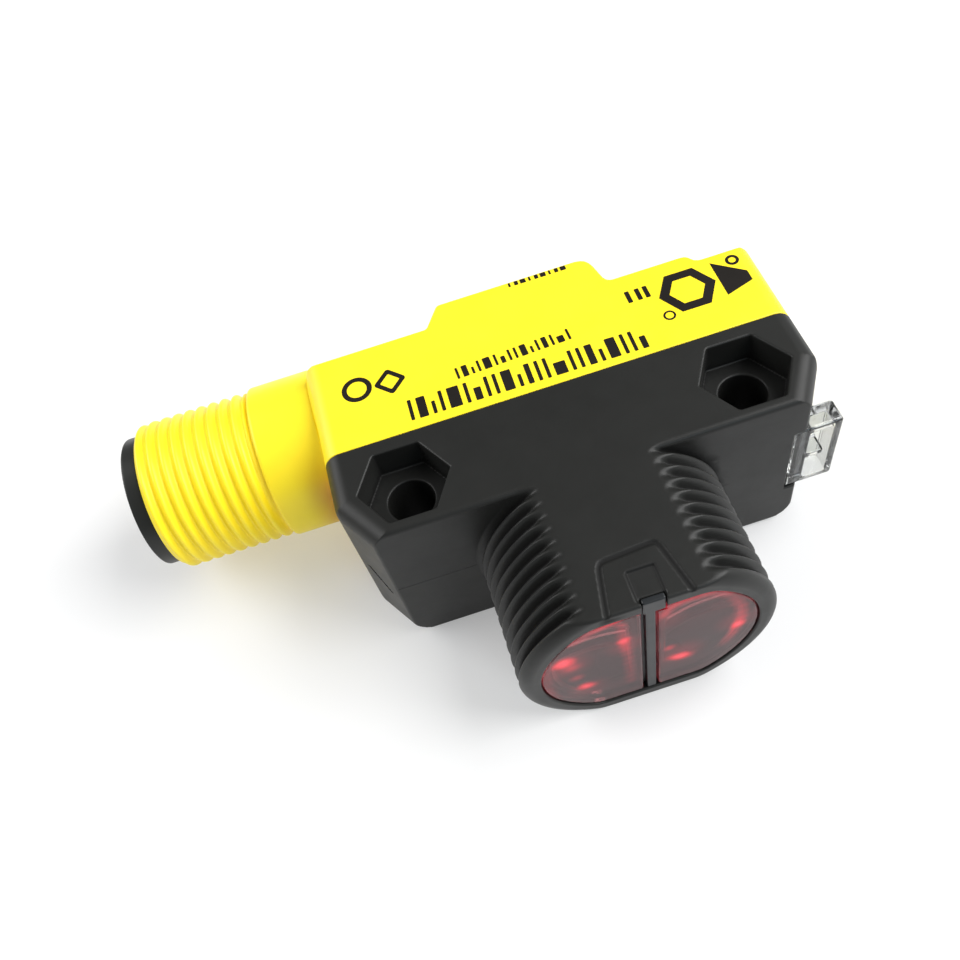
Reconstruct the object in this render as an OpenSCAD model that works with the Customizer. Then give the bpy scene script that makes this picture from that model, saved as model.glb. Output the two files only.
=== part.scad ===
// Barrel-nosed photoelectric sensor with a round plug connector.
// Units: millimetres. The sensor lies on one broad side: +Z is its thickness,
// X runs from the connector (-X) to the indicator end (+X), and the lens nose
// points along -Y. The origin is midway between the two screw holes, on the
// broad side that the sensor rests on (Z = 0).

/* [Body] */
// Length of both housing halves along X
body_len = 34.3; // [33.5:0.1:35]
// Thickness of the body, across the two broad sides
body_t = 15; // [15:0.5:16]
// Distance of the front face from the line of the screw holes
front_y = 3.65; // [3.5:0.05:3.8]
// Distance of the seam behind the line of the screw holes
seam_y = 3.88; // [3.7:0.02:4]
// Radius of the body's long edges at its two ends
end_r = 1.6; // [1:0.1:2]
// Chamfer of the front housing's end corners, along X
cham_x = 2.02; // [1.8:0.01:2.4]
// Chamfer of the front housing's end corners, along Y
cham_y = 3.25; // [2.6:0.05:3.4]
// Wall of the housings
wall = 1.3; // [1.2:0.1:1.4]

/* [Side screws] */
// Distance between the two screw holes
hole_pitch = 24.1; // [24:0.1:24.4]
// Diameter of the screw holes
hole_d = 3.3; // [3.1:0.1:3.4]
// Hexagonal nut pocket, across flats
nut_af = 5.6; // [5.5:0.1:5.8]
// Depth of the nut pockets
nut_depth = 2.5; // [2:0.1:2.8]

/* [Rear steps] */
// Depth of the rear housing behind the seam, at the connector end
rear_d_left = 8.77; // [8.6:0.01:8.9]
// Depth of the raised middle of the rear housing
rear_d_hump = 10.77; // [10.6:0.01:11]
// Depth of the rear housing right of its raised middle
rear_d_mid = 7.87; // [7.7:0.01:8.1]
// Depth of the rear housing at the indicator end
rear_d_right = 7.07; // [7:0.01:7.4]

/* [Lens nose] */
// Crest diameter of the nose thread
nose_d = 17.8; // [17.7:0.05:17.95]
// Length of the nose in front of the front housing
nose_len = 10.2; // [10:0.1:10.5]
// Pitch of the nose thread
nose_pitch = 1.0; // [0.9:0.05:1]
// Depth of the nose thread
nose_thread = 0.5; // [0.4:0.05:0.6]
// Number of thread turns on the nose
nose_turns = 9; // [8:1:9]
// Radius of the lens window
window_r = 7.4; // [7.2:0.05:7.45]
// Half height of the lens window between its two flats
window_h = 6.37; // [6.2:0.01:6.4]

/* [Connector] */
// Crest diameter of the connector thread
conn_d = 11.88; // [11.8:0.02:12]
// Diameter of the smooth collar behind the connector thread
collar_d = 12.2; // [12.1:0.05:12.3]
// Distance of the connector axis behind the seam
conn_y = 7.07; // [7:0.01:7.4]
// Length of the smooth collar outside the housing
collar_len = 5.0; // [4.8:0.1:5.6]
// Pitch of the connector thread
conn_pitch = 1.0; // [0.9:0.05:1]
// Number of thread turns on the connector
conn_turns = 8; // [7:1:8]
// Radius of the circle that the contact pins stand on
pin_circle_r = 2.5; // [2.4:0.05:2.6]
// Diameter of a contact pin
pin_d = 1.0; // [0.9:0.05:1.05]

/* [Adjuster] */
// Diameter of the adjuster's shaft
adj_shaft_d = 2.4; // [2.3:0.05:2.45]
// Diameter of the adjuster's slotted head
adj_head_d = 4.2; // [4:0.05:4.25]
// Position of the adjuster along X
adj_x = -0.6; // [-0.8:0.1:-0.4]

/* [Indicators] */
// Lowest edge of the clear indicator window
ind_z0 = 4.25; // [4.1:0.05:5]
// Highest edge of the clear indicator window
ind_z1 = 11.05; // [10.3:0.05:11.2]
// Reach of the clear indicator window from the middle of the body
ind_x = 18.0; // [17.6:0.1:18.2]

/* [Hidden] */
$fn = 64;
e = 0.05;
hx = body_len / 2;                 // half length of the body
mz = body_t / 2;                   // middle of the thickness
ff = front_y;                      // front face at -ff
fy = seam_y;                       // seam between the two halves
tip = -(ff + nose_len);            // lens end of the nose
cy = fy + conn_y;                  // connector axis
rl = fy + rear_d_left;             // outer rear faces, left to right
rh = fy + rear_d_hump;
rm = fy + rear_d_mid;
rr = fy + rear_d_right;
hr = hole_d / 2;
nut_r = nut_af / 2 / cos(30);
nose_r = nose_d / 2;
conn_r = conn_d / 2;
collar_r = collar_d / 2;
ledge = tip + 1.5;                 // seat of the lenses inside the nose
barrel_r = 6.85;                   // bore behind the lens seat
barrel_h = 5.85;
conn_x0 = -hx - collar_len;        // front face of the collar
conn_x1 = conn_x0 - 0.3;           // start of the connector thread
conn_x2 = conn_x1 - conn_turns * conn_pitch - 0.75;  // end of the connector shell
ins_x = conn_x2 - 1.2;             // mouth of the connector insert
spig_r = 5.3;                      // spigot of the connector shell in the housing
spig_x = -hx + 3.8;                // inner end of that spigot
ins_r = 4.9;                       // body of the insert inside the shell
cav_r = 4.2;                       // socket that the contact pins stand in
base_x = conn_x2 + 6.2;            // bottom of the socket
brd_y = fy + 1.55;                 // front face of the main board
brd_t = 1.0;
obr_y = -1.9;                      // front face of the optics board
opt_x = 3.6;                       // emitter at -opt_x, receiver at +opt_x

// Points of an arc, centre (x, y), from angle a to angle b
function arc(x, y, r, a, b, n = 5) =
    [for (i = [0:n]) [x + r * cos(a + (b - a) * i / n), y + r * sin(a + (b - a) * i / n)]];

// A cylinder along +X from x0 to x1, at (y, z)
module cx(x0, x1, r, y = 0, z = mz)
    translate([x0, y, z]) rotate([0, 90, 0]) cylinder(r = r, h = x1 - x0);

// A cylinder along +Y from y0 to y1, at (x, z)
module cyl_y(y0, y1, r, x = 0, z = mz)
    translate([x, y0, z]) rotate([-90, 0, 0]) cylinder(r = r, h = y1 - y0);

// A box given by its two corners
module bx(x0, x1, y0, y1, z0, z1)
    translate([x0, y0, z0]) cube([x1 - x0, y1 - y0, z1 - z0]);

// A round bar along Y cut by two flats, the form of the nose and its bores
module flat_round(y0, y1, r, h)
    intersection() {
        cyl_y(y0, y1, r);
        bx(-r - 1, r + 1, y0, y1, mz - h, mz + h);
    }

// ---------------------------------------------------------------- housings

// Outline of the front housing seen from above
module front_outline()
    polygon([[-hx, fy], [-hx, -ff + cham_y], [-hx + cham_x, -ff],
        [hx - cham_x, -ff], [hx, -ff + cham_y], [hx, fy]]);

// The body's cross-section with its rounded long edges, drawn out along Y
module end_profile(y0, y1)
    translate([0, y1, 0]) rotate([90, 0, 0]) linear_extrude(y1 - y0)
        polygon(concat(
            arc(hx - end_r, end_r, end_r, -90, 0, 6), arc(hx - end_r, body_t - end_r, end_r, 0, 90, 6),
            arc(-hx + end_r, body_t - end_r, end_r, 90, 180, 6), arc(-hx + end_r, end_r, end_r, 180, 270, 6)));

// Outline of the rear housing seen from above
module rear_outline()
    polygon(concat([[-hx, fy], [hx, fy]],
        arc(hx - 0.7, rr - 0.7, 0.7, 0, 90),
        [[13.3, rr], [12.95, rr + 0.1], [12.5, rm - 0.1], [12.15, rm], [6.75, rm],
         [6.4, rm + 0.2], [5.85, rh - 0.75], [5.5, rh - 0.25], [4.8, rh],
         [-5.95, rh], [-6.3, rh - 0.15], [-7.45, rl + 0.1], [-7.7, rl]],
        arc(-hx + 0.5, rl - 0.5, 0.5, 90, 180)));

module nose()
    intersection() {
        translate([0, -ff + 0.5, mz]) rotate([90, 0, 0]) rotate_extrude($fn = 96)
            polygon(concat(
                [[0, 0], [nose_r, 0]],
                [for (i = [0:nose_turns - 1]) each [
                    [nose_r, 0.35 + i * nose_pitch + 0.1],
                    [nose_r - nose_thread, 0.35 + i * nose_pitch + 0.42],
                    [nose_r - nose_thread, 0.35 + i * nose_pitch + 0.52],
                    [nose_r, 0.35 + i * nose_pitch + 0.9]]],
                [[nose_r, nose_len + 0.5 - 0.35],
                 [nose_r - 0.35, nose_len + 0.5], [0, nose_len + 0.5]]));
        bx(-hx, hx, tip - 1, 0, 0, body_t);
    }

module front_housing()
    color([0.07, 0.07, 0.075]) difference() {
        union() {
            intersection() {
                linear_extrude(body_t) front_outline();
                end_profile(-ff - 1, fy + 1);
            }
            nose();
            // tongue that enters the rear housing
            difference() {
                bx(-hx + wall + e, hx - wall - e, fy - 1, fy + 0.8, wall + e, body_t - wall - e);
                bx(-hx + wall + 0.75, hx - wall - 0.75, fy - 2, fy + 2, wall + 0.75, body_t - wall - 0.75);
            }
        }
        // inner room between the screw bosses
        bx(-8.5, 8.5, -ff + wall, fy + 2, wall + 0.75, body_t - wall - 0.75);
        // shallow room over the full length behind the screw bosses
        bx(-hx + wall + 0.75, hx - wall - 0.75, fy - 0.45, fy + 2, wall + 0.75, body_t - wall - 0.75);
        // lens seat, then the optics bore
        flat_round(tip - 1, ledge, window_r + e, window_h + e);
        flat_round(ledge - 1, -ff + wall + 1, barrel_r, barrel_h);
        // screw holes and nut pockets
        for (s = [-1, 1]) {
            translate([s * hole_pitch / 2, 0, -1]) cylinder(r = hr, h = body_t + 2);
            translate([s * hole_pitch / 2, 0, body_t - nut_depth]) cylinder(r = nut_r, h = nut_depth + 1, $fn = 6);
        }
        // key notch for the barrier's tab, and the shallow recess behind it
        bx(-0.8, 0.8, tip - 1, tip + 0.75, mz + window_h - 0.5, body_t + 1);
        bx(-0.8, 0.8, tip - 1, tip + 1.9, body_t - 0.45, body_t + 1);
        // fine raised-panel groove round the key, three straight runs
        for (s = [-1, 1])
            translate([s * 2.72, tip - 0.2, body_t - 0.18]) rotate([0, 0, s * 11.5])
                translate([-0.11, 0, 0]) cube([0.22, 3.6, 1]);
        bx(-1.95, 1.95, tip + 3.3, tip + 3.52, body_t - 0.18, body_t + 1);
        // seat and channel of the indicator window
        bx(14.3, hx + 1, -ff - 1, -ff + 2.05, ind_z0 - e, ind_z1 + e);
        bx(14.3, 15.4, -ff, fy + 2, ind_z0 + 0.3 - e, ind_z1 - 0.3 + e);
    }

module rear_housing()
    color([0.98, 0.86, 0.02]) difference() {
        union() {
            intersection() {
                linear_extrude(body_t) rear_outline();
                end_profile(fy - 1, rh + 1);
            }
            // rounded boss that takes the connector shell
            cx(-hx, -9.2, collar_r, cy);
            translate([-9.2, cy, mz]) sphere(r = collar_r);
        }
        // inner rooms, left, middle and right
        bx(-hx + wall, -7.4, fy - 1, rl - wall, wall, body_t - wall);
        bx(-8, -5.6, fy - 1, rl - wall, wall, body_t - wall);
        bx(-5.8, 4.6, fy - 1, rh - wall, wall, body_t - wall);
        bx(4.4, 12.2, fy - 1, rm - wall, wall, body_t - wall);
        bx(12, hx - wall, fy - 1, rr - wall, wall, body_t - wall);
        // room inside the rounded boss
        cx(-hx - 1, -9.2, 4.8, cy);
        translate([-9.2, cy, mz]) sphere(r = 4.8);
        // seat of the connector shell's spigot
        cx(-hx - 1, spig_x + 0.1, spig_r + 0.02, cy);
        // counterbore for the adjuster's head and bore for its shaft
        cyl_y(rh - 1.2, rh + 1, adj_head_d / 2 + 0.08, adj_x);
        cyl_y(rh - 4, rh + 1, adj_shaft_d / 2 + 0.05, adj_x);
    }

// ---------------------------------------------------------------- connector

module connector_shell()
    color([0.98, 0.86, 0.02]) difference() {
        union() {
            // collar against the end of the housing
            cx(conn_x0, -hx, collar_r, cy);
            // spigot inside the housing
            cx(-hx - e, spig_x, spig_r, cy);
            // threaded part with a lead-in chamfer
            translate([conn_x0, cy, mz]) rotate([0, -90, 0]) rotate_extrude($fn = 96)
                polygon(concat([[0, -0.2], [conn_r - 0.35, -0.2], [conn_r - 0.35, 0.3]],
                    [for (i = [0:conn_turns - 1]) each [
                        [conn_r, 0.3 + i * conn_pitch + 0.2],
                        [conn_r, 0.3 + i * conn_pitch + 0.58],
                        [conn_r - 0.5, 0.3 + i * conn_pitch + 0.86],
                        [conn_r - 0.5, 0.3 + i * conn_pitch + 0.94]]],
                    [[conn_r, 0.3 + conn_turns * conn_pitch + 0.12],
                     [conn_r, 0.3 + conn_turns * conn_pitch + 0.45],
                     [conn_r - 0.3, 0.3 + conn_turns * conn_pitch + 0.75],
                     [0, 0.3 + conn_turns * conn_pitch + 0.75]]));
        }
        cx(conn_x2 - 1, -hx - 1, ins_r + 0.02, cy);
        cx(-hx - 2, spig_x + 1, 4.3, cy);
    }

module connector_insert()
    color([0.06, 0.06, 0.065]) difference() {
        union() {
            cx(ins_x, conn_x2, 5.2, cy);
            cx(conn_x2 - e, base_x + 4, ins_r, cy);
        }
        // socket
        cx(ins_x - 1, base_x, cav_r, cy);
        // seats of the four contact pins
        for (a = [45, 135, 225, 315])
            cx(base_x - 1, base_x + 5, pin_d / 2, cy + pin_circle_r * cos(a), mz + pin_circle_r * sin(a));
        // polarising groove in the socket wall
        bx(ins_x - 1, base_x, cy - 0.6, cy + 0.6, mz + cav_r - 0.5, mz + cav_r + 0.35);
    }

// Contact pin i, from its rounded tip in the socket to its solder tail
module pin(a)
    color([0.86, 0.68, 0.30]) {
        y = cy + pin_circle_r * cos(a);
        z = mz + pin_circle_r * sin(a);
        cx(base_x - 4.9, base_x + 5.6, pin_d / 2, y, z);
        translate([base_x - 4.9, y, z]) rotate([0, -90, 0]) cylinder(r1 = pin_d / 2, r2 = pin_d / 4, h = 0.4);
    }
module contact_pin_1() pin(135);
module contact_pin_2() pin(45);
module contact_pin_3() pin(315);
module contact_pin_4() pin(225);

// Lead from a pin's tail, along X, then down to the main board
module wire(a, x) {
    y = cy + pin_circle_r * cos(a);
    z = mz + pin_circle_r * sin(a);
    cx(base_x + 5.6, x + 0.55, 0.45, y, z);
    cyl_y(brd_y + brd_t, y, 0.4, x, z);
}
module wire_brown() color([0.35, 0.18, 0.08]) wire(135, -9.4);
module wire_white() color([0.9, 0.9, 0.88]) wire(45, -7.9);
module wire_blue() color([0.08, 0.2, 0.65]) wire(315, -7.9);
module wire_black() color([0.05, 0.05, 0.05]) wire(225, -9.4);

// Resin that seals the back of the insert, round the four leads
module potting_plug()
    color([0.12, 0.1, 0.09]) difference() {
        cx(base_x + 4, spig_x - 0.2, 4.28, cy);
        for (a = [45, 135, 225, 315]) {
            cx(base_x + 3, base_x + 5.6, pin_d / 2, cy + pin_circle_r * cos(a), mz + pin_circle_r * sin(a));
            cx(base_x + 5.5, spig_x + 1, 0.45, cy + pin_circle_r * cos(a), mz + pin_circle_r * sin(a));
        }
    }

// ---------------------------------------------------------------- optics

module optical_barrier()
    color([0.09, 0.09, 0.1]) {
        bx(-0.5, 0.5, tip + 0.1, ledge, mz - window_h, mz + window_h);
        bx(-0.5, 0.5, ledge, ledge + 1.7, mz - barrel_h + e, mz + barrel_h - e);
        bx(-0.5, 0.5, ledge + 1.7, -3.95, mz - 5.2, mz + 5.2);
        // tab that keys into the rim of the nose
        bx(-0.75, 0.75, tip + 0.1, tip + 0.7, mz + window_h - 0.4, body_t - 0.1);
    }

// D-shaped outline between the barrier and the rim; s = -1 left, +1 right
module d_prism(s, y0, y1, x0, r, h)
    intersection() {
        cyl_y(y0, y1, r);
        if (s > 0) bx(x0, r + 1, y0, y1, mz - h, mz + h);
        else bx(-r - 1, -x0, y0, y1, mz - h, mz + h);
    }

module lens(s)
    color([0.55, 0.05, 0.07, 0.6]) difference() {
        union() {
            d_prism(s, tip + 0.1, ledge, 0.55, window_r, window_h);
            // convex inner face
            intersection() {
                d_prism(s, ledge - 0.1, ledge + 1.6, 1.2, 6.6, 4.7);
                translate([s * 4.0, ledge - 6.4, mz]) sphere(r = 8);
            }
        }
        // clearance for the barrier's tab
        bx(-0.8, 0.8, tip, tip + 0.75, mz + window_h - 0.5, body_t);
    }
module emitter_lens() lens(-1);
module receiver_lens() lens(1);

module optics_carrier()
    color([0.1, 0.1, 0.11]) difference() {
        flat_round(ledge + 1.75, -3.1, barrel_r - 0.05, barrel_h - 0.05);
        flat_round(ledge + 1, -3.9, 6.2, 5.25);
        for (s = [-1, 1]) cyl_y(-5, -2, 1.6, s * opt_x);
    }

module optics_board()
    color([0.08, 0.32, 0.14])
        bx(-6.4, 6.4, obr_y, obr_y + 0.8, mz - 5.4, mz + 5.4);

module emitter_led()
    color([0.75, 0.1, 0.1]) {
        cyl_y(obr_y - 0.9, obr_y, 1.5, -opt_x);
        intersection() {
            translate([-opt_x, obr_y - 0.9, mz]) sphere(r = 1.3);
            bx(-opt_x - 2, -opt_x + 2, obr_y - 3, obr_y - 0.9, 0, body_t);
        }
    }

module receiver_photodiode()
    color([0.12, 0.12, 0.14]) {
        bx(opt_x - 1.6, opt_x + 1.6, obr_y - 0.9, obr_y, mz - 1.6, mz + 1.6);
        cyl_y(obr_y - 1.15, obr_y - 0.9, 1.1, opt_x);
    }

module receiver_shield()
    color([0.75, 0.76, 0.78]) difference() {
        bx(opt_x - 2.4, opt_x + 2.6, obr_y + 0.8, obr_y + 2.6, mz - 2.8, mz + 2.8);
        bx(opt_x - 2.2, opt_x + 2.4, obr_y + 0.7, obr_y + 2.4, mz - 2.6, mz + 2.6);
    }

module board_link_pins()
    color([0.85, 0.7, 0.35])
        for (i = [0:4])
            translate([-5.1 + i * 1.27, obr_y + 0.8, mz - 4.4]) cube([0.5, brd_y - obr_y - 0.8, 0.5]);

// ---------------------------------------------------------------- electronics

module main_board()
    color([0.08, 0.32, 0.14]) difference() {
        bx(-11.2, hx - wall - 0.15, brd_y, brd_y + brd_t, wall + 0.2, body_t - wall - 0.2);
        // relief round the connector shell's inner end
        bx(-12, -11.0, brd_y - 1, brd_y + 2, mz - 3, mz + 3);
    }

module sensor_asic()
    color([0.06, 0.06, 0.07]) union() {
        bx(3.4, 8.4, brd_y - 0.9, brd_y, mz - 2.5, mz + 2.5);
    }

module voltage_regulator()
    color([0.07, 0.07, 0.08]) {
        bx(9.2, 12.2, brd_y + brd_t, brd_y + brd_t + 1.5, mz - 2.2, mz + 2.2);
        bx(12.2, 13.0, brd_y + brd_t, brd_y + brd_t + 0.4, mz - 1.8, mz + 1.8);
    }

module output_transistors()
    color([0.07, 0.07, 0.08])
        for (z = [3.1, 11.9])
            bx(4.4, 7.3, brd_y + brd_t, brd_y + brd_t + 1.1, z - 0.65, z + 0.65);

module supply_capacitor()
    color([0.85, 0.55, 0.12])
        bx(4.4, 7.9, brd_y + brd_t, brd_y + brd_t + 1.9, mz - 1.4, mz + 1.4);

module chip_resistors()
    color([0.1, 0.1, 0.11])
        for (i = [0:3], s = [-1, 1])
            bx(-7.6 + i * 2.6, -6.0 + i * 2.6, brd_y - 0.5, brd_y, mz + s * 3.0 - 0.4 + (s < 0 ? 1.6 : 0), mz + s * 3.0 + 0.4 + (s < 0 ? 1.6 : 0));

module indicator_led(z)
    bx(14.3, 15.3, brd_y - 0.6, brd_y, z - 0.7, z + 0.7);
module power_led() color([0.4, 0.85, 0.45]) indicator_led(mz - 1.25);
module output_led() color([0.95, 0.8, 0.3]) indicator_led(mz + 1.55);

// Clear window on the chamfer, with two light guides to the indicator LEDs
module indicator_lens()
    color([0.85, 0.9, 0.92, 0.4]) difference() {
        union() {
            bx(14.35, ind_x, -ff + 0.1, -ff + 2.0, ind_z0, ind_z1);
            bx(14.35, 15.35, -ff + 1, brd_y - 0.75, ind_z0 + 0.3, ind_z1 - 0.3);
        }
        // gap between the two guides
        bx(14, 16, -ff + 3, fy + 3, mz - 0.1, mz + 0.4);
        // hollow that opens towards the front face
        bx(15.5, ind_x - 0.6, -ff - 1, -ff + 1.3, ind_z0 + 0.6, ind_z1 - 0.6);
    }

// ---------------------------------------------------------------- adjuster

module gain_potentiometer()
    color([0.2, 0.3, 0.6]) difference() {
        bx(adj_x - 3, adj_x + 3, brd_y + brd_t, brd_y + brd_t + 3.5, mz - 3, mz + 3);
        cyl_y(brd_y + brd_t + 0.9, brd_y + brd_t + 4, adj_shaft_d / 2 + 0.05, adj_x);
    }

module gain_adjuster()
    color([0.93, 0.93, 0.9]) difference() {
        union() {
            cyl_y(brd_y + brd_t + 1.1, rh - 1.1, adj_shaft_d / 2, adj_x);
            cyl_y(rh - 1.15, rh - 0.1, adj_head_d / 2, adj_x);
        }
        // screwdriver slot, with an arrow notch at one end
        bx(adj_x - 0.35, adj_x + 0.35, rh - 0.75, rh + 1, mz - 1.6, mz + 1.6);
        translate([adj_x, rh - 0.75, mz + 1.15]) rotate([-90, 0, 0]) cylinder(r = 0.75, h = 2, $fn = 3);
    }

// Seal ring on the adjuster's shaft, inside the rear housing
module adjuster_seal()
    color([0.04, 0.04, 0.04])
        translate([adj_x, rh - wall - 0.42, mz]) rotate([-90, 0, 0])
            rotate_extrude() translate([adj_shaft_d / 2 + 0.46, 0]) circle(r = 0.4, $fn = 32);

front_housing();
rear_housing();
connector_shell();
connector_insert();
contact_pin_1();
contact_pin_2();
contact_pin_3();
contact_pin_4();
wire_brown();
wire_white();
wire_blue();
wire_black();
potting_plug();
optical_barrier();
emitter_lens();
receiver_lens();
optics_carrier();
optics_board();
emitter_led();
receiver_photodiode();
receiver_shield();
board_link_pins();
main_board();
sensor_asic();
voltage_regulator();
output_transistors();
supply_capacitor();
chip_resistors();
power_led();
output_led();
indicator_lens();
gain_potentiometer();
gain_adjuster();
adjuster_seal();
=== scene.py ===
import math

import bmesh
import bpy
import numpy as np
from mathutils import Matrix, Vector


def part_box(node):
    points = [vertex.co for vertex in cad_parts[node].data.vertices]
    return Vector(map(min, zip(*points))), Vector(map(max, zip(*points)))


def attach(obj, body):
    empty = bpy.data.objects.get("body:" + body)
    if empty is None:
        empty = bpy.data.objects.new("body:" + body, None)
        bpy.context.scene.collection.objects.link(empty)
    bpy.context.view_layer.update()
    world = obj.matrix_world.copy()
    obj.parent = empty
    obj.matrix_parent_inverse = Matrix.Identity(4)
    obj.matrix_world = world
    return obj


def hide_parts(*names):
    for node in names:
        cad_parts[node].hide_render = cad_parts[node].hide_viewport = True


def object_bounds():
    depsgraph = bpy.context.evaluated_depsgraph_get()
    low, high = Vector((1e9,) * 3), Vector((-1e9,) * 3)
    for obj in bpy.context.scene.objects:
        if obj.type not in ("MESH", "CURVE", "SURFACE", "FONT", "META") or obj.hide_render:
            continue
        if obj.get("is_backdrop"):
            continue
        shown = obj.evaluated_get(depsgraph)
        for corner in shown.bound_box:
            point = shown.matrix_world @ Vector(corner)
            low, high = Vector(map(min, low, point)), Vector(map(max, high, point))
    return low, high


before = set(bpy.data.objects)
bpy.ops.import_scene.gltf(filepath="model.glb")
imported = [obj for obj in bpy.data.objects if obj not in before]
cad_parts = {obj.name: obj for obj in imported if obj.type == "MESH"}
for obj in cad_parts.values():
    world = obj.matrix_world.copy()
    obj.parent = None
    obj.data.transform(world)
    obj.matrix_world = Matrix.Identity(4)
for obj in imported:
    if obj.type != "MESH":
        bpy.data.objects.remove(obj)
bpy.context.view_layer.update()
BODY = "sensor_body"
MM = 0.001

# ------------------------------------------------------------------ places, from the CAD frame, in millimetres
def node_box(n):
    lo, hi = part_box(n)
    return [v * 1000 for v in lo], [v * 1000 for v in hi]


FH_LO, FH_HI = node_box("front_housing")
RH_LO, RH_HI = node_box("rear_housing")
CS_LO, CS_HI = node_box("connector_shell")
CI_LO, CI_HI = node_box("connector_insert")
HX = FH_HI[0]                      # half length of the body
T = FH_HI[2]                       # thickness
MZ = T / 2
TIP = FH_LO[1]                     # lens end of the nose
FY = RH_LO[1]                      # seam between the two halves
FF = 3.65                          # front face in front of the screw holes
NOSE_R = 8.9
CY = (CS_LO[1] + CS_HI[1]) / 2     # connector axis
COLLAR_R = (CS_HI[1] - CS_LO[1]) / 2
YT = T - 0.015                     # yellow top face, just under the print
IND_Z0, IND_Z1 = node_box("indicator_lens")[0][2], node_box("indicator_lens")[1][2]


# ------------------------------------------------------------------ distance-field tools (arrays of millimetres)
def rmax(a, b, r=0.0):
    """Intersection with a rounded outer edge of radius r."""
    if np.isscalar(r) and r <= 0:
        return np.maximum(a, b)
    u = np.maximum(a + r, 0)
    v = np.maximum(b + r, 0)
    return np.minimum(-r, np.maximum(a, b)) + np.sqrt(u * u + v * v)


def rmin(a, b, r=0.0):
    """Union with a rounded inner corner of radius r."""
    return -rmax(-a, -b, r)


def cut(a, b, r=0.0):
    return rmax(a, -b, r)


def slab(v, lo, hi):
    return np.maximum(lo - v, v - hi)


def rbox(x, y, z, lo, hi, r=0.0):
    q = [np.abs(v - (a + b) / 2) - ((b - a) / 2 - r) for v, a, b in zip((x, y, z), lo, hi)]
    out = np.sqrt(sum(np.maximum(c, 0) ** 2 for c in q))
    return out + np.minimum(np.maximum(np.maximum(q[0], q[1]), q[2]), 0) - r


def ring(x, y, cx, cy, r):
    return np.sqrt((x - cx) ** 2 + (y - cy) ** 2) - r


def smooth(v, a, b):
    t = np.clip((v - a) / (b - a), 0, 1)
    return t * t * (3 - 2 * t)


def seg_dist(x, y, p, q):
    px, py, qx, qy = *p, *q
    dx, dy = qx - px, qy - py
    t = np.clip(((x - px) * dx + (y - py) * dy) / (dx * dx + dy * dy), 0, 1)
    return np.sqrt((x - px - t * dx) ** 2 + (y - py - t * dy) ** 2)


def poly_sdf(x, y, pts):
    """Exact distance to a closed outline, negative inside."""
    d = np.full(x.shape, 1e9, np.float32)
    s = np.ones(x.shape, np.float32)
    n = len(pts)
    for i in range(n):
        (ax, ay), (bx, by) = pts[i], pts[i - 1]
        ex, ey = bx - ax, by - ay
        wx, wy = x - ax, y - ay
        t = np.clip((wx * ex + wy * ey) / (ex * ex + ey * ey), 0, 1)
        d = np.minimum(d, (wx - ex * t) ** 2 + (wy - ey * t) ** 2)
        c1, c2, c3 = y >= ay, y < by, ex * wy > ey * wx
        flip = (c1 & c2 & c3) | (~c1 & ~c2 & ~c3)
        s = np.where(flip, -s, s)
    return s * np.sqrt(d)


def arc_pts(cx, cy, r, a, b, n=8):
    return [(cx + r * math.cos(math.radians(a + (b - a) * i / n)), cy + r * math.sin(math.radians(a + (b - a) * i / n))) for i in range(n + 1)]


def grad(f, v, e=0.015):
    g = np.empty_like(v)
    for k in range(3):
        a, b = v.copy(), v.copy()
        a[:, k] += e
        b[:, k] -= e
        g[:, k] = (f(a[:, 0], a[:, 1], a[:, 2]) - f(b[:, 0], b[:, 1], b[:, 2])) / (2 * e)
    return g


def onto(f, v, steps=3, reach=0.2):
    """Moves points onto the surface f = 0."""
    for _ in range(steps):
        g = grad(f, v)
        l2 = np.maximum((g * g).sum(1), 0.05)
        step = (f(v[:, 0], v[:, 1], v[:, 2]) / l2)[:, None] * g
        n = np.linalg.norm(step, axis=1, keepdims=True)
        v = v - step * np.minimum(1, reach / np.maximum(n, 1e-9))
    return v


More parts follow.
